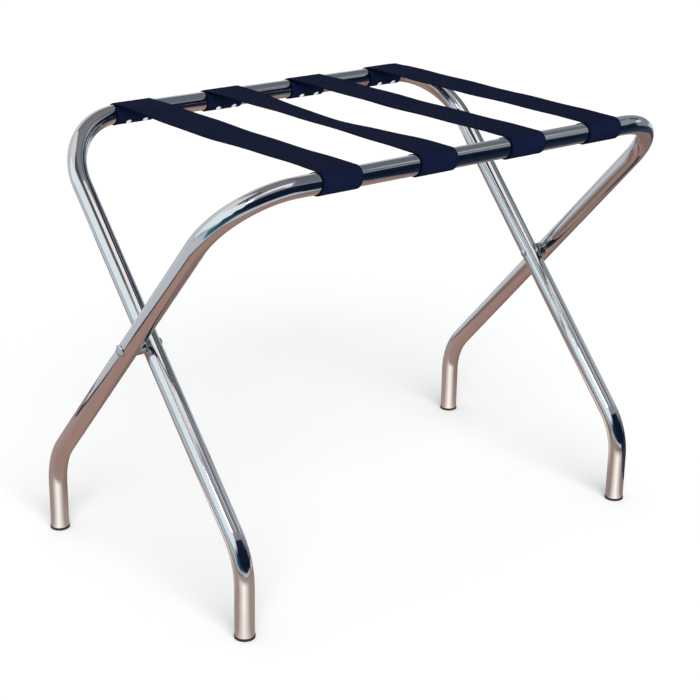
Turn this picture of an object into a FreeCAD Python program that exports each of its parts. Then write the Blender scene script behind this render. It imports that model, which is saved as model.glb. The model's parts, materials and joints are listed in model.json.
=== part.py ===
import FreeCAD, Part
import math
import os

# Folding luggage rack: two nested U-frames of bent chromed steel tube, crossed like
# scissors on a pair of rivets, and tied together at the top by four webbing straps.
# +X runs along the top bars, -Y is the front and +Z is up. The origin is on the floor
# under the middle of the rack. Lengths are in millimetres and angles in degrees.

Vector = FreeCAD.Vector
X_AXIS = Vector(1, 0, 0)
Z_AXIS = Vector(0, 0, 1)
SIDES = {"left": -1, "right": 1}

# Driving dimensions: the frames
HEIGHT = 508.0                 # floor to the top of the straps
OUTER_LEG_SPACING = 634.0      # outer frame, centre to centre
FRAME_GAP = 6.0                # clear space between an outer and an inner leg
TUBE_RADIUS = 11.1
TUBE_WALL = 1.2
BAR_Y = 191.0                  # each top bar, from the middle plane
FOOT_Y = 175.0                 # each foot, from the middle plane
ELBOW_Z = 92.5                 # where a leg's slanted and upright runs would meet
BEND_RADIUS = 82.5             # centre line of every bend

# Driving dimensions: the straps
STRAP_WIDTH = 50.8
STRAP_THICKNESS = 1.4
STRAP_COUNT = 4
STRAP_PITCH = 126.0
# Each loop sits this far to the right of its even place. The straps were fixed by hand,
# so they run a little askew.
STRAP_FRONT_SHIFTS = (6.0, 9.0, 12.0, 6.5)
STRAP_BACK_SHIFTS = (2.0, 2.0, 2.0, 2.0)
STRAP_CLEARANCE = 0.3          # between the webbing and the bars and rivets
STRAP_TUCK_ANGLE = 50.0        # a loop's loose end, above level on the inner side

# Driving dimensions: the pivots
PIVOT_SHANK_RADIUS = 3.175
PIVOT_HEAD_RADIUS = 7.0
PIVOT_HEAD_HEIGHT = 2.6
PIVOT_HEAD_RIM = 0.8           # the straight part of the height, below the dome
PIVOT_TAIL_RADIUS = 4.5
PIVOT_TAIL_HEIGHT = 1.6
PIVOT_TAIL_RIM = 0.6
PIVOT_DRILL_REACH = 400.0      # from the middle plane to well outside the legs
SPACER_RADIUS = 9.0
RIVET_HOLE_CLEARANCE = 0.05    # between any rivet's shank and a hole in a tube
TURNING_CLEARANCE = 0.3        # between a face that turns and the one beside it
SADDLE_CLEARANCE = 0.05        # between a saddle cut and the tube it sits on

# Driving dimensions: the blind rivets that hold the loops
STRAP_RIVET_PITCH = 22.5
STRAP_RIVET_ANGLE = 42.0       # below level, on the inner side of the bar
STRAP_RIVET_SHANK_RADIUS = 1.6
STRAP_RIVET_HEAD_RADIUS = 3.2
STRAP_RIVET_HEAD_HEIGHT = 1.4
STRAP_RIVET_HEAD_RIM = 0.4
STRAP_RIVET_TAIL_RADIUS = 2.3
STRAP_RIVET_TAIL_LENGTH = 2.6
STRAP_RIVET_DIMPLE_RADIUS = 0.8
STRAP_RIVET_DIMPLE_DEPTH = 0.7

# Driving dimensions: the foot caps
CAP_RADIUS = 11.7
CAP_RIM = 3.0                  # from the floor to the end of the tube
CAP_EDGE_RADIUS = 0.8
CAP_PLUG_LENGTH = 14.0
CAP_PLUG_CLEARANCE = 0.35
CAP_PLUG_WALL = 1.8
CAP_BARB_COUNT = 3
CAP_BARB_HEIGHT = 0.25
CAP_BARB_PITCH = 4.0

# Derived dimensions
BORE_RADIUS = TUBE_RADIUS - TUBE_WALL
LOOP_INNER_RADIUS = TUBE_RADIUS + STRAP_CLEARANCE
LOOP_OUTER_RADIUS = LOOP_INNER_RADIUS + STRAP_THICKNESS
BAR_Z = HEIGHT - LOOP_OUTER_RADIUS
OUTER_LEG_X = OUTER_LEG_SPACING / 2
INNER_LEG_X = OUTER_LEG_X - 2 * TUBE_RADIUS - FRAME_GAP
LEG_RISE = BAR_Z - ELBOW_Z
LEG_REACH = BAR_Y + FOOT_Y
PIVOT_Z = BAR_Z - BAR_Y * LEG_RISE / LEG_REACH


def placed(shape, point, direction):
    """A shape made along +Z from the origin, moved to a point and turned to a direction."""
    moved = shape.copy()
    moved.Placement = FreeCAD.Placement(point, FreeCAD.Rotation(Z_AXIS, direction))
    return moved


def revolved(edges):
    """The solid that a closed outline in the XZ plane makes when it turns about Z."""
    return Part.Face(Part.Wire(edges)).revolve(Vector(0, 0, 0), Z_AXIS, 360)


def line(start, end):
    return Part.LineSegment(start, end).toShape()


def arc(start, middle, end):
    return Part.Arc(start, middle, end).toShape()


# --- Bent tube ---------------------------------------------------------------------


def centre_line(corners):
    """The path through a list of corners, each one rounded by a bend."""
    edges = []
    reached = corners[0]
    for before, corner, after in zip(corners, corners[1:], corners[2:]):
        back = (before - corner).normalize()
        ahead = (after - corner).normalize()
        half_angle = back.getAngle(ahead) / 2
        tangent = BEND_RADIUS / math.tan(half_angle)
        start = corner + back * tangent
        end = corner + ahead * tangent
        bisector = (back + ahead).normalize()
        centre = corner + bisector * (BEND_RADIUS / math.sin(half_angle))
        edges.append(line(reached, start))
        edges.append(arc(start, centre - bisector * BEND_RADIUS, end))
        reached = end
    edges.append(line(reached, corners[-1]))
    return Part.Wire(edges)


def bent_rod(corners, radius):
    """A solid round rod along the path through a list of corners."""
    section = Part.makeCircle(radius, corners[0], corners[1] - corners[0])
    return centre_line(corners).makePipe(Part.Face(Part.Wire(section)))


def frame_corners(leg_x, bar_y):
    """The corners of a U-frame's centre line, foot to foot, with its bar at bar_y."""
    foot_y = -math.copysign(FOOT_Y, bar_y)
    one_side = [
        Vector(leg_x, foot_y, CAP_RIM),
        Vector(leg_x, foot_y, ELBOW_Z),
        Vector(leg_x, bar_y, BAR_Z),
    ]
    other_side = [Vector(-p.x, p.y, p.z) for p in reversed(one_side)]
    return one_side + other_side


def frame(leg_x, bar_y, strap_shifts):
    """One hollow U-frame, drilled for the pivots and for the strap rivets."""
    corners = frame_corners(leg_x, bar_y)
    tube = bent_rod(corners, TUBE_RADIUS).cut(bent_rod(corners, BORE_RADIUS))
    drill_radius = PIVOT_SHANK_RADIUS + RIVET_HOLE_CLEARANCE
    drill_start = Vector(-PIVOT_DRILL_REACH, 0, PIVOT_Z)
    drills = [Part.makeCylinder(drill_radius, 2 * PIVOT_DRILL_REACH, drill_start, X_AXIS)]
    for index in range(STRAP_COUNT):
        for x in rivet_xs(index, strap_shifts):
            drills.append(rivet_drill(x, bar_y, RIVET_HOLE_CLEARANCE))
    return tube.cut(drills)


# --- Pivots ------------------------------------------------------------------------


def button(radius, rim, height):
    """A low domed head on a short straight rim, from the XY plane up."""
    cap = height - rim
    sphere = (radius ** 2 + cap ** 2) / (2 * cap)
    lean = math.asin(radius / sphere) / 2
    middle = Vector(sphere * math.sin(lean), 0, height - sphere * (1 - math.cos(lean)))
    foot = Vector(0, 0, 0)
    edge = Vector(radius, 0, 0)
    shoulder = Vector(radius, 0, rim)
    top = Vector(0, 0, height)
    return revolved([line(foot, edge), line(edge, shoulder), arc(shoulder, middle, top), line(top, foot)])


def leg_envelope(leg_x, bar_y):
    """The space that a frame's slanted leg fills near the pivot, with a little to spare."""
    corners = frame_corners(leg_x, bar_y)
    along = corners[2] - corners[1]
    return Part.makeCylinder(TUBE_RADIUS + SADDLE_CLEARANCE, along.Length, corners[1], along)


def pivot_rivet(side):
    """The rivet through one pair of legs: a saddle-seated head, a shank and a tail."""
    outer_face = OUTER_LEG_X + TUBE_RADIUS
    inner_face = INNER_LEG_X - TUBE_RADIUS
    sunk = TUBE_RADIUS - math.sqrt(TUBE_RADIUS ** 2 - PIVOT_HEAD_RADIUS ** 2)
    head = placed(
        button(PIVOT_HEAD_RADIUS, sunk + PIVOT_HEAD_RIM, sunk + PIVOT_HEAD_HEIGHT),
        Vector(outer_face - sunk, 0, PIVOT_Z),
        X_AXIS,
    )
    head = head.cut(leg_envelope(OUTER_LEG_X, -BAR_Y))
    tail_start = Vector(inner_face - TURNING_CLEARANCE, 0, PIVOT_Z)
    tail = placed(
        button(PIVOT_TAIL_RADIUS, PIVOT_TAIL_RIM, PIVOT_TAIL_HEIGHT),
        tail_start,
        -X_AXIS,
    )
    shank_length = outer_face + PIVOT_HEAD_HEIGHT / 2 - tail_start.x
    shank = Part.makeCylinder(PIVOT_SHANK_RADIUS, shank_length, tail_start, X_AXIS)
    return on_side(shank.multiFuse([head, tail]).removeSplitter(), side)


def pivot_spacer(side):
    """The collar on the rivet between the two legs, seated on the outer leg."""
    inner_end = INNER_LEG_X + TUBE_RADIUS + TURNING_CLEARANCE
    start = Vector(inner_end, 0, PIVOT_Z)
    length = OUTER_LEG_X - inner_end
    collar = Part.makeCylinder(SPACER_RADIUS, length, start, X_AXIS)
    bore_radius = PIVOT_SHANK_RADIUS + RIVET_HOLE_CLEARANCE
    bore = Part.makeCylinder(bore_radius, length, start, X_AXIS)
    return on_side(collar.cut([leg_envelope(OUTER_LEG_X, -BAR_Y), bore]), side)


def on_side(shape, side):
    """A shape made on the right, or its mirror image on the left."""
    if side > 0:
        return shape
    return shape.mirror(Vector(0, 0, 0), X_AXIS)


# --- Straps and their rivets ---------------------------------------------------------


def strap_x(index, shifts):
    """The middle of a strap's loop on a bar."""
    return (index - (STRAP_COUNT - 1) / 2) * STRAP_PITCH + shifts[index]


def rivet_xs(index, shifts):
    """The two rivets of a loop."""
    middle = strap_x(index, shifts)
    return [middle - STRAP_RIVET_PITCH / 2, middle + STRAP_RIVET_PITCH / 2]


def rivet_direction(bar_y):
    """Outwards from a bar through its strap rivets: down and to the inner side."""
    lean = math.radians(STRAP_RIVET_ANGLE)
    inward = -math.copysign(1, bar_y)
    return Vector(0, inward * math.cos(lean), -math.sin(lean))


def rivet_drill(x, bar_y, clearance):
    """The hole for one strap rivet, from the bar's centre line outwards."""
    radius = STRAP_RIVET_SHANK_RADIUS + clearance
    length = 2 * LOOP_OUTER_RADIUS
    return Part.makeCylinder(radius, length, Vector(x, bar_y, BAR_Z), rivet_direction(bar_y))


def strap_rivet(x, bar_y):
    """A blind rivet: a dimpled domed head, a shank, and a bulb inside the tube."""
    head_start = LOOP_OUTER_RADIUS + STRAP_CLEARANCE
    reach = BORE_RADIUS ** 2 - STRAP_RIVET_TAIL_RADIUS ** 2
    tail_end = math.sqrt(reach) - SADDLE_CLEARANCE
    tail_start = tail_end - STRAP_RIVET_TAIL_LENGTH
    head = button(STRAP_RIVET_HEAD_RADIUS, STRAP_RIVET_HEAD_RIM, STRAP_RIVET_HEAD_HEIGHT)
    head.translate(Z_AXIS * head_start)
    shank = Part.makeCylinder(
        STRAP_RIVET_SHANK_RADIUS, head_start - tail_start, Z_AXIS * tail_start, Z_AXIS
    )
    tail = Part.makeCylinder(
        STRAP_RIVET_TAIL_RADIUS, STRAP_RIVET_TAIL_LENGTH, Z_AXIS * tail_start, Z_AXIS
    )
    dimple_start = head_start + STRAP_RIVET_HEAD_HEIGHT - STRAP_RIVET_DIMPLE_DEPTH
    dimple = Part.makeCylinder(
        STRAP_RIVET_DIMPLE_RADIUS, STRAP_RIVET_HEAD_HEIGHT, Z_AXIS * dimple_start, Z_AXIS
    )
    rivet = shank.multiFuse([head, tail]).removeSplitter().cut(dimple)
    return placed(rivet, Vector(x, bar_y, BAR_Z), rivet_direction(bar_y))


def strap_rivets(index, bar_y, shifts):
    """The pair of rivets that hold one loop."""
    return Part.makeCompound([strap_rivet(x, bar_y) for x in rivet_xs(index, shifts)])


def loop_point(radius, angle, bar_y):
    """A point round a bar: 0 is level on the inner side, 90 is the top."""
    turn = math.radians(angle)
    inward = -math.copysign(1, bar_y)
    return Vector(0, bar_y + inward * radius * math.cos(turn), BAR_Z + radius * math.sin(turn))


def strap_loop(x, leg_x, bar_y):
    """The webbing round a bar, from its top over the outside to the tucked loose end.

    The loop is made thick and cut by the tube with its clearance, because an end loop
    reaches a little way round the bend.
    """
    top = 90
    tucked = STRAP_TUCK_ANGLE + 360
    halfway = (top + tucked) / 2
    outer = [loop_point(LOOP_OUTER_RADIUS, a, bar_y) for a in (top, halfway, tucked)]
    inner = [loop_point(BORE_RADIUS, a, bar_y) for a in (tucked, halfway, top)]
    edges = [
        arc(*outer),
        line(outer[-1], inner[0]),
        arc(*inner),
        line(inner[-1], outer[0]),
    ]
    profile = Part.Face(Part.Wire(edges))
    profile.translate(X_AXIS * (x - STRAP_WIDTH / 2))
    loop = profile.extrude(X_AXIS * STRAP_WIDTH)
    return loop.cut(bent_rod(frame_corners(leg_x, bar_y), LOOP_INNER_RADIUS))


def strap_span(front_x, back_x):
    """The flat webbing between the tops of the two bars."""
    half = STRAP_WIDTH / 2
    z = BAR_Z + LOOP_INNER_RADIUS
    corners = [
        Vector(front_x - half, -BAR_Y, z),
        Vector(front_x + half, -BAR_Y, z),
        Vector(back_x + half, BAR_Y, z),
        Vector(back_x - half, BAR_Y, z),
    ]
    outline = Part.makePolygon(corners + corners[:1])
    return Part.Face(outline).extrude(Z_AXIS * STRAP_THICKNESS)


def strap(index):
    """One strap, looped round both bars and pierced for its rivets."""
    front_x = strap_x(index, STRAP_FRONT_SHIFTS)
    back_x = strap_x(index, STRAP_BACK_SHIFTS)
    webbing = strap_span(front_x, back_x).multiFuse(
        [strap_loop(front_x, OUTER_LEG_X, -BAR_Y), strap_loop(back_x, INNER_LEG_X, BAR_Y)]
    )
    front_xs = rivet_xs(index, STRAP_FRONT_SHIFTS)
    back_xs = rivet_xs(index, STRAP_BACK_SHIFTS)
    holes = [rivet_drill(x, -BAR_Y, STRAP_CLEARANCE) for x in front_xs]
    holes += [rivet_drill(x, BAR_Y, STRAP_CLEARANCE) for x in back_xs]
    return webbing.removeSplitter().cut(holes)


# --- Foot caps -----------------------------------------------------------------------


def foot_cap(leg_x, foot_y):
    """A plastic cap: a rim under the tube's end and a hollow barbed plug inside it."""
    plug_radius = BORE_RADIUS - CAP_PLUG_CLEARANCE
    rim = Part.makeCylinder(CAP_RADIUS, CAP_RIM)
    floor_edge = rim.Edges[2]
    rim = rim.makeFillet(CAP_EDGE_RADIUS, [floor_edge])
    plug_top = CAP_RIM + CAP_PLUG_LENGTH
    plug = Part.makeCylinder(plug_radius, plug_top)
    barbs = []
    for number in range(CAP_BARB_COUNT):
        z = CAP_RIM + CAP_BARB_PITCH * (number + 0.5)
        crest = plug_radius + CAP_BARB_HEIGHT
        barb = Part.makeCone(crest, plug_radius, CAP_BARB_PITCH / 2, Vector(0, 0, z))
        barbs.append(barb)
    hollow = Part.makeCylinder(plug_radius - CAP_PLUG_WALL, plug_top, Vector(0, 0, CAP_RIM))
    cap = rim.multiFuse([plug] + barbs).cut(hollow)
    cap.translate(Vector(leg_x, foot_y, 0))
    return cap


# --- The rack --------------------------------------------------------------------------


def rack():
    """Every sub-part by name."""
    nodes = {
        "outer_frame": frame(OUTER_LEG_X, -BAR_Y, STRAP_FRONT_SHIFTS),
        "inner_frame": frame(INNER_LEG_X, BAR_Y, STRAP_BACK_SHIFTS),
    }
    for name, side in SIDES.items():
        nodes["pivot_rivet_" + name] = pivot_rivet(side)
        nodes["pivot_spacer_" + name] = pivot_spacer(side)
        nodes["foot_cap_back_" + name] = foot_cap(side * OUTER_LEG_X, FOOT_Y)
        nodes["foot_cap_front_" + name] = foot_cap(side * INNER_LEG_X, -FOOT_Y)
    for index in range(STRAP_COUNT):
        number = str(index + 1)
        nodes["strap_" + number] = strap(index)
        nodes["strap_rivets_front_" + number] = strap_rivets(index, -BAR_Y, STRAP_FRONT_SHIFTS)
        nodes["strap_rivets_back_" + number] = strap_rivets(index, BAR_Y, STRAP_BACK_SHIFTS)
    return nodes


os.makedirs("parts", exist_ok=True)
for node, shape in rack().items():
    shape.exportStep("parts/" + node + ".step")
    print(node, "solids", len(shape.Solids), "volume", round(shape.Volume, 1), "valid", shape.isValid())
print("pivot height", round(PIVOT_Z, 2), "bar height", round(BAR_Z, 2), "inner legs", INNER_LEG_X)
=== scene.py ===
import bpy
import json
import math
from mathutils import Matrix, Vector


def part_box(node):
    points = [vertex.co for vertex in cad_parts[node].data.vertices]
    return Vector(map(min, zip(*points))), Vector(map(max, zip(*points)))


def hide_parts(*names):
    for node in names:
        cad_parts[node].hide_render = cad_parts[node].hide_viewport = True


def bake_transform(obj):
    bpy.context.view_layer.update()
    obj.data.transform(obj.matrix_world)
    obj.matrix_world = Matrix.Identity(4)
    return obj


# Folding luggage rack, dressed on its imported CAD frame. Metres throughout, in the
# frame's own axes: +X along the top bars, -Y the front, +Z up, the floor at zero.

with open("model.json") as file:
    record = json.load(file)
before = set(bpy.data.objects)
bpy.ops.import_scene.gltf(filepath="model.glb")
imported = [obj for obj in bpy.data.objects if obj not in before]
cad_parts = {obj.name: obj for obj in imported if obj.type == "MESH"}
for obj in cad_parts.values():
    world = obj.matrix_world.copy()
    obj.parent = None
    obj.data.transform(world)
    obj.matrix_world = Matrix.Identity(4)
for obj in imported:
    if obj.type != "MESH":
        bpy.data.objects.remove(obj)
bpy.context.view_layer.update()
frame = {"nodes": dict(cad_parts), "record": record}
FOLD = frame["record"]["behaviour"]["joints"][0]      # the rack's only joint
PIVOT_HEIGHT = FOLD["pos_m"][2]

TUBE_BEND_RADIUS = 0.0825
STRAP_WIDTH = 0.0508
STRAP_THICKNESS = 0.0014
# How far a strap's left and right edges hang below level, and how far along from the front
# bar that is: each (depth, place). A depth below zero rises. The second strap is slack along
# its right edge only.
STRAP_DIPS = {
    "strap_1": ((0.0038, 0.58), (0.0019, 0.36)),
    "strap_2": ((-0.0008, 0.50), (0.0074, 0.52)),
    "strap_3": ((0.0016, 0.52), (0.0011, 0.46)),
    "strap_4": ((0.0012, 0.62), (0.0005, 0.50)),
}
TUCK_ANGLE = 50                # a loop's loose end, degrees above level on the inner side
LOOP_DRIFT = 0.0025            # how far a loop has crept to the left under its bar
LOOP_DRIFT_ANGLES = (120, 250)     # the degrees round the bar over which it creeps
LOOP_STEPS = 96
SPAN_STEPS = 72
SPAN_RIPPLE = 0.0003           # the height of the faint waves along a span
SPAN_RIPPLES = 3.6             # and how many there are
SPAN_CUP = 0.0006              # how far a span's edges curl up
SPAN_RISE_SHARE = 1 / 6        # the share of a span over which its waves and curl set in
BEND_SHARE = 1 / 8             # the share of a span that the frame's bend pulls down
FOLDED_LOOP_BULGE = math.radians(3)    # half a folded span's loop, seen from the pivot
FOLDED_LOOP_TAPER = 1.5        # above 1, the loop narrows softly towards both its ends

RIB_PITCH = 0.00158            # the webbing's ribs, across it
PICK_PITCH = 0.0021            # and its picks, along it
SELVEDGE = (0.0032, 0.0018)    # it darkens from this far from its edge to this far

CAMERA_TARGET = Vector((-0.005, 0.004, 0.213))
CAMERA_AZIMUTH = -38.9
CAMERA_ELEVATION = 20.7
CAMERA_DISTANCE = 2.036
CAMERA_ROLL = 0.95
CAMERA_LENS = 86.4
SENSOR_WIDTH = 36.0

SUN_AZIMUTH = -25
SUN_ELEVATION = 28
SUN_ANGLE = math.radians(55)   # wide, so that its shadows are soft
SUN_STRENGTH = 3.3
SKY_STRENGTH = 0.62
BACKDROP_RADIUS = 29
BACKDROP_STRENGTH = 0.98


def view_direction(azimuth, elevation):
    """From the object towards a camera: azimuth 0 is in front, 90 is at the right."""
    a = math.radians(azimuth)
    e = math.radians(elevation)
    return Vector((math.sin(a) * math.cos(e), -math.cos(a) * math.cos(e), math.sin(e)))


def add_object(name, data):
    """A new object in the scene that holds a mesh, a camera or a light."""
    thing = bpy.data.objects.new(name, data)
    bpy.context.scene.collection.objects.link(thing)
    return thing


def make_camera():
    """The only camera, aimed at the rack from its front left."""
    camera = add_object("camera", bpy.data.cameras.new("camera"))
    back = view_direction(CAMERA_AZIMUTH, CAMERA_ELEVATION)
    turn = back.to_track_quat("Z", "Y").to_matrix().to_4x4()
    roll = Matrix.Rotation(math.radians(CAMERA_ROLL), 4, "Z")
    place = Matrix.Translation(CAMERA_TARGET + back * CAMERA_DISTANCE)
    camera.matrix_world = place @ turn @ roll
    camera.data.lens = CAMERA_LENS
    camera.data.sensor_width = SENSOR_WIDTH
    bpy.context.scene.camera = camera


# --- Material building blocks ----------------------------------------------------------


class Nodes:
    """A material's node tree, with short ways to add and join nodes."""

    def __init__(self, name):
        self.material = bpy.data.materials.new(name)
        self.material.use_nodes = True
        self.tree = self.material.node_tree
        self.shader = self.tree.nodes["Principled BSDF"]

    def add(self, kind, inputs=None, **settings):
        """A node with its settings, and its inputs set to numbers or joined to sockets."""
        node = self.tree.nodes.new(kind)
        for name, value in settings.items():
            setattr(node, name, value)
        for name, value in (inputs or {}).items():
            self.feed(node.inputs[name], value)
        return node

    def feed(self, socket, value):
        """Joins a socket to another's output, or sets it to a plain value."""
        if isinstance(value, bpy.types.NodeSocket):
            self.tree.links.new(value, socket)
        else:
            socket.default_value = value

    def maths(self, operation, a, b=0.0):
        """A sum on one or two values."""
        return self.add("ShaderNodeMath", {0: a, 1: b}, operation=operation).outputs[0]

    def axes(self, vector):
        """A vector's X, Y and Z."""
        return self.add("ShaderNodeSeparateXYZ", {0: vector}).outputs

    def place(self, scale=(1, 1, 1)):
        """The surface's own coordinates, in metres, stretched by a scale."""
        where = self.add("ShaderNodeTexCoord").outputs["Object"]
        return self.add("ShaderNodeMapping", {"Vector": where, "Scale": scale}).outputs[0]

    def noise(self, vector, scale, detail=3.0, roughness=0.55):
        """Soft random patches, 0 to 1."""
        inputs = {"Vector": vector, "Scale": scale, "Detail": detail, "Roughness": roughness}
        return self.add("ShaderNodeTexNoise", inputs).outputs["Fac"]

    def spread(self, value, low, high, source=(0.3, 0.7)):
        """A value from a source range, spread over low to high."""
        inputs = {"Value": value, "From Min": source[0], "From Max": source[1]}
        inputs.update({"To Min": low, "To Max": high})
        return self.add("ShaderNodeMapRange", inputs, clamp=True).outputs[0]

    def blend_colours(self, factor, first, second):
        """A mix of two colours, each three numbers or a socket."""
        ends = [c if isinstance(c, bpy.types.NodeSocket) else (*c, 1) for c in (first, second)]
        inputs = {0: factor, 6: ends[0], 7: ends[1]}
        return self.add("ShaderNodeMix", inputs, data_type="RGBA").outputs[2]

    def bump(self, height, distance, strength=1.0):
        """Fine relief on the surface, distance metres deep."""
        inputs = {"Height": height, "Distance": distance, "Strength": strength}
        self.feed(self.shader.inputs["Normal"], self.add("ShaderNodeBump", inputs).outputs[0])


# --- Materials -------------------------------------------------------------------------


def chrome():
    """Polished chrome plate: faint polishing waves, smudges and hairline scratches."""
    n = Nodes("chrome_tube_finish")
    smudges = n.noise(n.place(), 14.0, 4.0)
    hairlines = n.noise(n.place((300, 300, 8)), 1.0, 2.0)
    dulled = n.maths("ADD", smudges, n.maths("MULTIPLY", hairlines, 0.35))
    n.feed(n.shader.inputs["Roughness"], n.spread(dulled, 0.045, 0.13, (0.5, 0.9)))
    tint = n.blend_colours(smudges, (0.78, 0.79, 0.80), (0.70, 0.70, 0.71))
    n.feed(n.shader.inputs["Base Color"], tint)
    n.shader.inputs["Metallic"].default_value = 1.0
    n.bump(n.noise(n.place(), 55.0, 2.0), 0.0002, 0.12)
    return n.material


def bright_steel():
    """Plated rivets and collars, set by a tool and a little duller than the tube."""
    n = Nodes("bright_steel_finish")
    marks = n.noise(n.place(), 420.0, 4.0)
    n.feed(n.shader.inputs["Roughness"], n.spread(marks, 0.12, 0.30))
    tint = n.blend_colours(marks, (0.74, 0.74, 0.75), (0.58, 0.58, 0.60))
    n.feed(n.shader.inputs["Base Color"], tint)
    n.shader.inputs["Metallic"].default_value = 1.0
    n.bump(marks, 0.0001, 0.35)
    return n.material


def plated_rivets():
    """The loops' small rivets: bright white plating that scatters light all round."""
    n = Nodes("plated_rivets_finish")
    marks = n.noise(n.place(), 600.0, 4.0)
    n.feed(n.shader.inputs["Roughness"], n.spread(marks, 0.22, 0.40))
    tint = n.blend_colours(marks, (0.97, 0.97, 0.98), (0.88, 0.88, 0.90))
    n.feed(n.shader.inputs["Base Color"], tint)
    n.shader.inputs["Metallic"].default_value = 0.25
    n.bump(marks, 0.0001, 0.25)
    return n.material


def black_plastic():
    """Moulded plastic with a fine grain, scuffed paler where it meets the floor."""
    n = Nodes("black_plastic_finish")
    grain = n.noise(n.place(), 1500.0, 3.0)
    scuffs = n.noise(n.place((1, 1, 4)), 260.0, 5.0, 0.7)
    low = n.spread(n.axes(n.place())["Z"], 1.0, 0.0, (0.0, 0.0022))
    worn = n.maths("MULTIPLY", low, n.spread(scuffs, 0.0, 1.0, (0.45, 0.65)))
    colour = n.blend_colours(worn, (0.012, 0.012, 0.013), (0.075, 0.073, 0.070))
    n.feed(n.shader.inputs["Base Color"], colour)
    n.feed(n.shader.inputs["Roughness"], n.spread(grain, 0.38, 0.58))
    n.bump(grain, 0.0002, 0.5)
    return n.material


def webbing():
    """Navy webbing: ribs along the strap crossed by picks, with a tighter dark selvedge."""
    n = Nodes("webbing_finish")
    uv = n.add("ShaderNodeUVMap", uv_map="cloth").outputs[0]
    across = n.axes(uv)["X"]
    along = n.axes(uv)["Y"]
    rib_number = n.maths("DIVIDE", across, RIB_PITCH)
    rib = n.maths("ABSOLUTE", n.maths("SINE", n.maths("MULTIPLY", rib_number, math.pi)))
    step = n.maths("MULTIPLY", n.maths("FLOOR", rib_number), 0.5)
    pick_number = n.maths("ADD", n.maths("DIVIDE", along, PICK_PITCH), step)
    pick = n.maths("ABSOLUTE", n.maths("SINE", n.maths("MULTIPLY", pick_number, math.pi)))
    weave = n.maths("MULTIPLY", n.maths("POWER", rib, 0.6), n.maths("POWER", pick, 0.5))
    yarn = n.maths("MULTIPLY", weave, n.spread(n.noise(uv, 900.0), 0.75, 1.0))
    # Painted shade: the weave's valleys are painted darker and the yarn's crowns lighter, with
    # the yarn's own random tone mixed in.
    yarn_tone_and_shade = n.spread(yarn, 0.0, 1.0, (0.15, 0.95))
    thread = n.blend_colours(yarn_tone_and_shade, (0.0017, 0.0030, 0.0115), (0.0071, 0.0134, 0.0475))
    worn = n.spread(n.noise(uv, 35.0), 0.0, 0.35)
    patchy = n.blend_colours(worn, thread, (0.0047, 0.0081, 0.0270))
    edge = n.maths("ABSOLUTE", n.maths("SUBTRACT", across, STRAP_WIDTH / 2))
    rim = [STRAP_WIDTH / 2 - inset for inset in SELVEDGE]
    colour = n.blend_colours(n.spread(edge, 0.0, 0.55, rim), patchy, (0.0023, 0.0037, 0.0130))
    n.feed(n.shader.inputs["Base Color"], colour)
    n.feed(n.shader.inputs["Roughness"], n.spread(yarn, 0.90, 0.62, (0.0, 1.0)))
    n.shader.inputs["Specular IOR Level"].default_value = 0.02
    n.bump(yarn, 0.00035, 0.9)
    return n.material


def dress_cad_nodes():
    """Gives each CAD node that stays in view the finish of its material slot."""
    finishes = {
        "chrome_tube": chrome(),
        "bright_steel": bright_steel(),
        "black_plastic": black_plastic(),
    }
    small_rivets = plated_rivets()
    for part in frame["record"]["subparts"]:
        finish = finishes.get(part["material_slot"])
        if part["node"].startswith("strap_rivets"):
            finish = small_rivets
        if finish:
            for material_slot in frame["nodes"][part["node"]].material_slots:
                material_slot.material = finish


# --- Straps ------------------------------------------------------------------------------


def bend_start(node, bar_z):
    """How far from the middle a frame's bar begins to bend down."""
    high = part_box(node)[1]
    tube_radius = high.z - bar_z
    return high.x - tube_radius - TUBE_BEND_RADIUS


def strap_measures(name):
    """Where a strap's CAD solid lies: its loops' middles and the bars inside them."""
    low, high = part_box(name)
    outer_radius = (high.z - low.z) / 2
    bar_z = high.z - outer_radius
    return {
        "back_x": low.x + STRAP_WIDTH / 2,
        "front_x": high.x - STRAP_WIDTH / 2,
        "bar_y": high.y - outer_radius,
        "bar_z": bar_z,
        "radius": outer_radius - STRAP_THICKNESS / 2,
        "front_bend": bend_start("outer_frame", bar_z),
        "back_bend": bend_start("inner_frame", bar_z),
    }


def smooth(value):
    """0 below 0, 1 above 1 and a smooth rise between."""
    v = min(1.0, max(0.0, value))
    return v * v * (3 - 2 * v)


def loop_rows(m, side):
    """The rows round one bar, from the loose end to the top, where the span leaves it.

    side is -1 at the front bar and 1 at the back. An angle is 0 on the inner side,
    90 at the top, 180 on the outer side and 270 underneath.
    """
    start = 360 + TUCK_ANGLE
    top = 90
    drift_from, drift_to = LOOP_DRIFT_ANGLES
    middle_x = m["front_x"] if side < 0 else m["back_x"]
    rows = []
    for i in range(LOOP_STEPS + 1):
        degrees = start + (top - start) * i / LOOP_STEPS
        angle = math.radians(degrees)
        out = Vector((0, -side * math.cos(angle), math.sin(angle)))
        drift = smooth((degrees - drift_from) / (drift_to - drift_from)) * LOOP_DRIFT
        point = Vector((middle_x - drift, side * m["bar_y"], m["bar_z"])) + out * m["radius"]
        rows.append((point, out))
    return rows


def span_rows(start, end):
    """The level rows between the two loops, ends left out."""
    up = Vector((0, 0, 1))
    return [(start.lerp(end, i / SPAN_STEPS), up) for i in range(1, SPAN_STEPS)]


def strap_rows(m):
    """Middle points and outward directions along a whole strap, front end to back end."""
    front = loop_rows(m, -1)
    back = list(reversed(loop_rows(m, 1)))
    return front + span_rows(front[-1][0], back[0][0]) + back


def dip(share, depth, place):
    """How far an edge hangs down, share of the way from bar to bar: lowest at its place."""
    if not 0 < share < 1:
        return 0.0
    warped = share ** (math.log(0.5) / math.log(place))
    return depth * math.sin(math.pi * warped) ** 2


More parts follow.
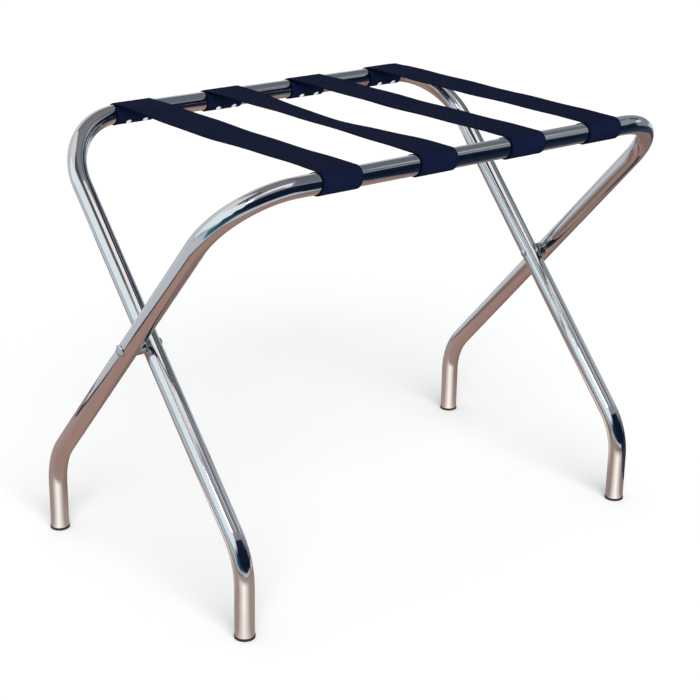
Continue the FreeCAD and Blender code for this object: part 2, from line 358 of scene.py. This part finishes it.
def strap_section():
    """The webbing's outline across the strap: flat faces with rounded edges."""
    half = STRAP_WIDTH / 2
    radius = STRAP_THICKNESS / 2
    flat_steps = 14
    edge_steps = 6
    outline = []
    for sign in (1, -1):
        for i in range(flat_steps + 1):
            across = (half - radius) * (2 * i / flat_steps - 1) * sign
            outline.append((across, radius * sign))
        for i in range(1, edge_steps):
            turn = math.pi * i / edge_steps
            across = sign * (half - radius + radius * math.sin(turn))
            outline.append((across, sign * radius * math.cos(turn)))
    return outline


def strap_vertices(m, rows, section, dips):
    """Every row's ring of points, with the span's hang and the bends under the end loops."""
    vertices = []
    for point, out in rows:
        share = (point.y + m["bar_y"]) / (2 * m["bar_y"])
        left = dip(share, *dips[0])
        right = dip(share, *dips[1])
        hanging = smooth(share / SPAN_RISE_SHARE) * smooth((1 - share) / SPAN_RISE_SHARE)
        ripple = SPAN_RIPPLE * math.sin(SPAN_RIPPLES * math.tau * share) * hanging
        bends_from = m["front_bend"] if share < 0.5 else m["back_bend"]
        pull = 1 - smooth(min(share, 1 - share) / BEND_SHARE)
        leg = Vector((0, -math.copysign(m["bar_y"], point.y), PIVOT_HEIGHT - m["bar_z"]))
        along_leg = leg.normalized()
        for across, height in section:
            side_share = across / STRAP_WIDTH + 0.5
            hang = left + (right - left) * side_share
            cup = SPAN_CUP * hanging * (2 * across / STRAP_WIDTH) ** 2
            place = point + Vector((across, 0, 0)) + out * (height + ripple + cup)
            into_bend = max(0.0, abs(place.x) - bends_from)
            drop = TUBE_BEND_RADIUS - math.sqrt(TUBE_BEND_RADIUS ** 2 - into_bend ** 2)
            place += along_leg * drop * pull
            vertices.append(place - Vector((0, 0, hang)))
    return vertices


def strap_faces(row_count, ring):
    """Quads from each row's ring of points to the next, and a face over each end."""
    faces = []
    for row in range(row_count - 1):
        near = row * ring
        far = near + ring
        for i in range(ring):
            j = (i + 1) % ring
            faces.append((near + i, near + j, far + j, far + i))
    last = (row_count - 1) * ring
    faces.append(tuple(reversed(range(ring))))
    faces.append(tuple(range(last, last + ring)))
    return faces


def strap_lengths(rows):
    """How far along the webbing each row is."""
    lengths = [0.0]
    for (before, _), (point, _) in zip(rows, rows[1:]):
        lengths.append(lengths[-1] + (point - before).length)
    return lengths


def hang_when_folded(m, rows, ring):
    """Works out how a strap's rows would share the fold, for its folded span to hang in a loop
    between the bars.

    The shares are worked out but not kept.
    """
    half_fold = math.radians(FOLD["range_deg"][1]) / 2
    shares = []
    for point, _ in rows:
        away = min(1.0, abs(point.y) / m["bar_y"])
        bulge = FOLDED_LOOP_BULGE * max(0.0, math.sin(math.pi * away)) ** FOLDED_LOOP_TAPER
        from_middle = math.atan2(abs(point.y), point.z - PIVOT_HEIGHT)
        share = max(0.0, half_fold + bulge - from_middle) / (2 * half_fold)
        shares += [share if point.y < 0 else 1 - share] * ring


def make_strap(name, finish):
    """One strap of webbing, wrapped round both bars, in place of its plain CAD solid."""
    m = strap_measures(name)
    rows = strap_rows(m)
    lengths = strap_lengths(rows)
    section = strap_section()
    ring = len(section)
    vertices = strap_vertices(m, rows, section, STRAP_DIPS[name])
    mesh = bpy.data.meshes.new(name + "_webbing")
    mesh.from_pydata(vertices, [], strap_faces(len(rows), ring))
    uv = mesh.uv_layers.new(name="cloth")
    for loop in mesh.loops:
        row, i = divmod(loop.vertex_index, ring)
        uv.data[loop.index].uv = (section[i][0] + STRAP_WIDTH / 2, lengths[row])
    mesh.polygons.foreach_set("use_smooth", [True] * len(mesh.polygons))
    mesh.materials.append(finish)
    mesh.validate()
    piece = add_object(name + "_webbing", mesh)
    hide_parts(name)
    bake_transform(piece)
    hang_when_folded(m, rows, ring)


# --- Stage -------------------------------------------------------------------------------

# The way each flat piece of the stage faces, in degrees about X, Y and Z.
LEVEL = (0, 0, 0)
CEILING = (180, 0, 0)
LEFT = (90, 0, 90)
FRONT = (90, 0, 180)
RIGHT = (90, 0, -90)
BACK = (90, 0, 0)


def stage_outline(name, outline, finish):
    """A flat staged face in its own XY plane, facing its own +Z."""
    mesh = bpy.data.meshes.new(name)
    mesh.from_pydata([(x, y, 0) for x, y in outline], [], [tuple(range(len(outline)))])
    mesh.materials.append(finish)
    face = add_object(name, mesh)
    return face


def stage_plane(name, size, middle, turn, finish):
    """A staged rectangle with its middle and its turn, in degrees about X, Y and Z."""
    x = size[0] / 2
    y = size[1] / 2
    plane = stage_outline(name, [(-x, -y), (x, -y), (x, y), (-x, y)], finish)
    plane.location = middle
    plane.rotation_euler = [math.radians(a) for a in turn]
    return plane


def make_floor():
    """The plain pale floor. The chrome doesn't see it: it sees the room's cards."""
    n = Nodes("pale_floor")
    n.shader.inputs["Base Color"].default_value = (0.95, 0.95, 0.945, 1)
    n.shader.inputs["Roughness"].default_value = 0.9
    n.shader.inputs["Specular IOR Level"].default_value = 0.1
    floor = stage_plane("floor", (60, 60), (0, 0, 0), LEVEL, n.material)
    floor.visible_glossy = False


class LightNodes(Nodes):
    """The node tree of a surface that only gives light."""

    def __init__(self, name):
        super().__init__(name)
        self.tree.nodes.remove(self.shader)

    def emission(self, colour, strength=1.0):
        """Light of one colour, which may come from a socket."""
        inputs = {"Color": colour, "Strength": strength}
        return self.add("ShaderNodeEmission", inputs).outputs[0]

    def facing(self):
        """0 where the surface is seen square on, 1 where it is seen edge on."""
        return self.add("ShaderNodeLayerWeight", {"Blend": 0.5}).outputs["Facing"]

    def finish(self, surface):
        """The material, once its surface is this shader."""
        self.feed(self.tree.nodes["Material Output"].inputs["Surface"], surface)
        return self.material


CLOUD_SCALE = 0.6              # the size of the soft patches on a card


def glow(name, height, low, high, cloud=0.0):
    """A glowing card's finish: one colour at its foot, another at its head, cloudy between."""
    n = LightNodes(name)
    where = n.place()
    rise = n.spread(n.axes(where)["Y"], 0.0, 1.0, (-height / 2, height / 2))
    drift = n.maths("SUBTRACT", n.noise(where, CLOUD_SCALE), 0.5)
    shade = n.blend_colours(n.maths("ADD", rise, n.maths("MULTIPLY", drift, cloud)), low, high)
    return n.finish(n.emission(shade))


def only_reflected(card):
    """Leaves a card in view of reflections alone."""
    card.visible_camera = False
    card.visible_diffuse = False
    card.visible_shadow = False
    card.visible_transmission = False
    card.visible_volume_scatter = False


TABLE_OUTLINE = (
    (-0.62, -0.58), (0.35, -0.58), (0.35, -0.15), (1.05, -0.15), (1.05, 1.0),
    (-0.38, 1.0), (-0.52, 0.56), (-0.60, 0.13),
)
TABLE_EDGE_OUTLINE = (
    (-0.68, -0.61), (0.36, -0.61), (0.36, -0.16), (1.08, -0.16), (1.08, 1.05),
    (-0.42, 1.05), (-0.575, 0.57), (-0.66, 0.13),
)
TABLE_HEIGHT = 0.0009
TABLE_EDGE_HEIGHT = 0.0006
TABLE_EDGE_COLOUR = (0.03, 0.028, 0.03)
TABLE_SHADOW_X = -0.08            # the middle of the painted shadow under the rack


def table_glow():
    """Rosy brown wood, with painted sheen greying it where it is seen from low down.

    It has painted shade at its front right corner. Further back a painted shadow of the rack
    darkens the wood under the rack's middle, and painted shade darkens all its right side.
    """
    n = LightNodes("card_table_glow")
    where = n.place()
    x = n.axes(where)["X"]
    y = n.axes(where)["Y"]
    grain = n.noise(n.place((1, 9, 1)), 3.0)
    wood = n.blend_colours(grain, (0.37, 0.230, 0.190), (0.47, 0.300, 0.250))
    # Painted sheen: the wood turns greyer where the card is seen edge on.
    low_view = n.spread(n.facing(), 0.0, 1.0, (0.2, 0.6))
    wood_with_sheen = n.blend_colours(low_view, wood, (0.43, 0.33, 0.30))
    # Painted shade over the front right corner.
    to_right = n.spread(x, 0.0, 1.0, (-0.25, 0.30))
    to_front = n.spread(y, 1.0, 0.0, (-0.30, -0.05))
    corner = n.maths("MULTIPLY", to_right, to_front)
    wood_with_corner_shade = n.blend_colours(corner, wood_with_sheen, (0.26, 0.19, 0.19))
    # Painted shadow of the rack under its middle, and painted shade along the right side, both
    # towards the back.
    from_patch = n.maths("ABSOLUTE", n.maths("SUBTRACT", x, TABLE_SHADOW_X))
    patch = n.spread(from_patch, 1.0, 0.0, (0.10, 0.20))
    right_side = n.spread(x, 0.0, 1.0, (0.30, 0.50))
    to_back = n.spread(y, 0.0, 0.9, (-0.18, -0.06))
    painted_shade = n.maths("MULTIPLY", n.maths("MAXIMUM", patch, right_side), to_back)
    return n.finish(n.emission(n.blend_colours(painted_shade, wood_with_corner_shade, (0.23, 0.160, 0.140))))


def make_table():
    """The table under the rack, with a dark edge that shows all round it."""
    edge_glow = glow("card_table_edge_glow", 1.0, TABLE_EDGE_COLOUR, TABLE_EDGE_COLOUR)
    edge = stage_outline("card_table_edge", TABLE_EDGE_OUTLINE, edge_glow)
    edge.location.z = TABLE_EDGE_HEIGHT
    only_reflected(edge)
    table = stage_outline("card_table", TABLE_OUTLINE, table_glow())
    table.location.z = TABLE_HEIGHT
    only_reflected(table)


def glint_glow():
    """A wedge of shine that fades along its own +X, to both sides and seen from above."""
    n = LightNodes("card_glint_glow")
    where = n.place()
    turn = n.maths("ARCTAN2", n.axes(where)["Y"], n.axes(where)["X"])
    half_wedge = (math.radians(4), math.radians(62))
    beam = n.spread(n.maths("ABSOLUTE", turn), 1.0, 0.0, half_wedge)
    reach = n.add("ShaderNodeVectorMath", {0: where}, operation="LENGTH").outputs["Value"]
    near = n.maths("MULTIPLY", beam, n.spread(reach, 1.0, 0.0, (0.17, 0.27)))
    share = n.maths("MULTIPLY", near, n.spread(n.facing(), 0.0, 1.0, (0.43, 0.50)))
    clear = n.add("ShaderNodeBsdfTransparent").outputs[0]
    light = n.emission((1.30, 1.20, 1.08, 1))
    return n.finish(n.add("ShaderNodeMixShader", {0: share, 1: clear, 2: light}).outputs[0])


FEET = ("back_left", "back_right", "front_left", "front_right")
GLINT_SIZE = (0.56, 0.56)
GLINT_HEIGHT = 0.0012          # the first glint; each next one is a little higher
GLINT_HEIGHT_STEP = 0.0002


def make_foot_glints():
    """The shine on the table in front of each foot, on the side towards the camera."""
    finish = glint_glow()
    for i, foot in enumerate(FEET):
        low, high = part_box("foot_cap_" + foot)
        height = GLINT_HEIGHT + GLINT_HEIGHT_STEP * i
        middle = ((low.x + high.x) / 2, (low.y + high.y) / 2, height)
        turn = (0, 0, CAMERA_AZIMUTH - 90)
        glint = stage_plane("card_glint_" + str(i + 1), GLINT_SIZE, middle, turn, finish)
        only_reflected(glint)


# The room that the chrome mirrors. Each wall is cut into cards named for where they are:
# name, size, middle, turn, colour at its foot, colour at its head, cloudiness.
ROOM_CARDS = (
    ("ceiling", (6.4, 6.4), (0, 0, 3.2), CEILING,
     (0.80, 0.82, 0.84), (0.80, 0.82, 0.84), 0.3),
    ("ceiling_grey", (2.6, 0.9), (-0.7, -2.65, 3.18), CEILING,
     (0.30, 0.29, 0.32), (0.36, 0.35, 0.38), 0.8),
    ("ceiling_middle", (1.9, 4.3), (0.25, 0.99, 3.17), CEILING,
     (0.17, 0.17, 0.19), (0.25, 0.25, 0.27), 0.8),
    ("ceiling_streak", (2.25, 1.0), (0.03, -1.65, 3.16), CEILING,
     (1.1, 1.07, 1.04), (1.0, 0.98, 0.97), 0.3),
    ("ceiling_right", (2.0, 6.4), (2.2, 0, 3.15), CEILING,
     (0.135, 0.155, 0.185), (0.175, 0.19, 0.22), 0.5),
    ("ceiling_strip", (1.2, 0.32), (2.8, -1.62, 3.14), CEILING,
     (0.60, 0.62, 0.66), (0.60, 0.62, 0.66), 0.0),
    ("beam_near", (1.7, 1.75), (-1.55, -0.68, 3.15), CEILING,
     (0.07, 0.07, 0.08), (0.12, 0.12, 0.13), 0.5),
    ("beam_far", (0.5, 0.7), (-2.45, -1.85, 3.15), CEILING,
     (0.10, 0.10, 0.11), (0.10, 0.10, 0.11), 0.0),
    ("lamp", (0.6, 0.6), (-2.60, -2.50, 3.1), CEILING,
     (9.0, 9.5, 10.0), (9.0, 9.5, 10.0), 0.0),
    ("left_high", (6.2, 2.75), (-3.0, 0, 1.83), LEFT,
     (0.86, 1.02, 1.10), (0.98, 1.01, 1.02), 0.3),
    ("left_low", (6.2, 0.46), (-3.0, 0, 0.23), LEFT,
     (0.36, 0.40, 0.47), (0.50, 0.54, 0.61), 0.3),
    ("left_dark_low", (1.9, 0.75), (-2.97, -2.15, 0.375), LEFT,
     (0.010, 0.07, 0.10), (0.008, 0.03, 0.06), 0.5),
    ("left_dark_high", (1.1, 1.5), (-2.96, -2.60, 0.75), LEFT,
     (0.008, 0.03, 0.06), (0.010, 0.015, 0.045), 0.5),
    ("front", (6.2, 3.2), (0, -3.1, 1.6), FRONT,
     (0.25, 0.24, 0.27), (0.30, 0.29, 0.32), 0.3),
    ("front_dark", (6.2, 2.45), (0, -3.08, 1.22), FRONT,
     (0.003, 0.010, 0.030), (0.008, 0.012, 0.034), 0.9),
    ("right", (6.2, 3.2), (3.1, 0, 1.6), RIGHT,
     (0.22, 0.25, 0.30), (0.30, 0.32, 0.36), 0.5),
    ("right_low", (3.1, 0.5), (3.08, 1.5, 0.25), RIGHT,
     (0.60, 0.76, 0.82), (0.60, 0.72, 0.78), 0.3),
    ("right_dark_low", (1.45, 1.32), (3.08, -2.42, 0.66), RIGHT,
     (0.006, 0.016, 0.036), (0.006, 0.016, 0.036), 0.5),
    ("right_dark", (0.95, 1.0), (3.08, -0.08, 2.15), RIGHT,
     (0.06, 0.06, 0.07), (0.06, 0.06, 0.07), 0.0),
    ("right_bright", (0.9, 0.55), (3.08, -0.85, 1.45), RIGHT,
     (0.80, 0.80, 0.82), (0.80, 0.80, 0.82), 0.0),
    ("back", (6.2, 3.2), (0, 3.1, 1.6), BACK,
     (0.62, 0.63, 0.66), (0.70, 0.70, 0.69), 0.5),
    ("floor", (6.4, 6.4), (0, 0, 0.0003), LEVEL,
     (0.55, 0.58, 0.64), (0.62, 0.65, 0.70), 0.3),
    ("floor_front", (6.2, 1.95), (0, -2.12, 0.0004), LEVEL,
     (0.004, 0.010, 0.028), (0.006, 0.015, 0.034), 0.5),
    ("floor_teal", (2.1, 1.95), (-2.05, -2.12, 0.0005), LEVEL,
     (0.010, 0.05, 0.075), (0.03, 0.10, 0.13), 0.5),
    ("floor_teal_band", (2.15, 0.92), (-1.92, -0.72, 0.0005), LEVEL,
     (0.008, 0.04, 0.07), (0.03, 0.20, 0.28), 0.0),
    ("floor_right_far", (2.9, 0.50), (1.8, -0.92, 0.0004), LEVEL,
     (0.010, 0.018, 0.04), (0.015, 0.025, 0.05), 0.0),
    ("floor_right", (2.9, 1.0), (1.8, -0.17, 0.0004), LEVEL,
     (0.008, 0.018, 0.035), (0.09, 0.11, 0.15), 0.5),
)


def make_room_cards():
    """The walls, floor and ceiling that the chrome mirrors."""
    for name, size, middle, turn, low, high, cloud in ROOM_CARDS:
        finish = glow("card_" + name + "_glow", size[1], low, high, cloud)
        card = stage_plane("card_" + name, size, middle, turn, finish)
        only_reflected(card)


def make_backdrop():
    """A white shell round everything, so that a low view has no dark horizon."""
    n = LightNodes("backdrop_glow")
    finish = n.finish(n.emission((1, 1, 1, 1), BACKDROP_STRENGTH))
    bpy.ops.mesh.primitive_uv_sphere_add(radius=BACKDROP_RADIUS, segments=48, ring_count=24)
    shell = bpy.context.object
    shell.name = "backdrop"
    shell.data.materials.append(finish)
    shell.visible_diffuse = False
    shell.visible_glossy = False
    shell.visible_shadow = False
    shell.visible_transmission = False


def make_lights():
    """A soft low sun from the front left and an even sky; the cards give the highlights."""
    world = bpy.data.worlds.new("studio")
    world.use_nodes = True
    sky = world.node_tree.nodes["Background"]
    sky.inputs["Color"].default_value = (0.98, 0.99, 1.0, 1)
    sky.inputs["Strength"].default_value = SKY_STRENGTH
    bpy.context.scene.world = world
    data = bpy.data.lights.new("sun", "SUN")
    data.energy = SUN_STRENGTH
    data.angle = SUN_ANGLE
    sun = add_object("sun", data)
    to_sun = view_direction(SUN_AZIMUTH, SUN_ELEVATION)
    sun.rotation_euler = to_sun.to_track_quat("Z", "Y").to_euler()
    sun.visible_glossy = False
    bpy.context.scene.view_settings.view_transform = "Standard"


make_camera()
make_floor()
make_backdrop()
make_room_cards()
make_table()
make_foot_glints()
make_lights()
dress_cad_nodes()
webbing_finish = webbing()
for strap_name in STRAP_DIPS:
    make_strap(strap_name, webbing_finish)
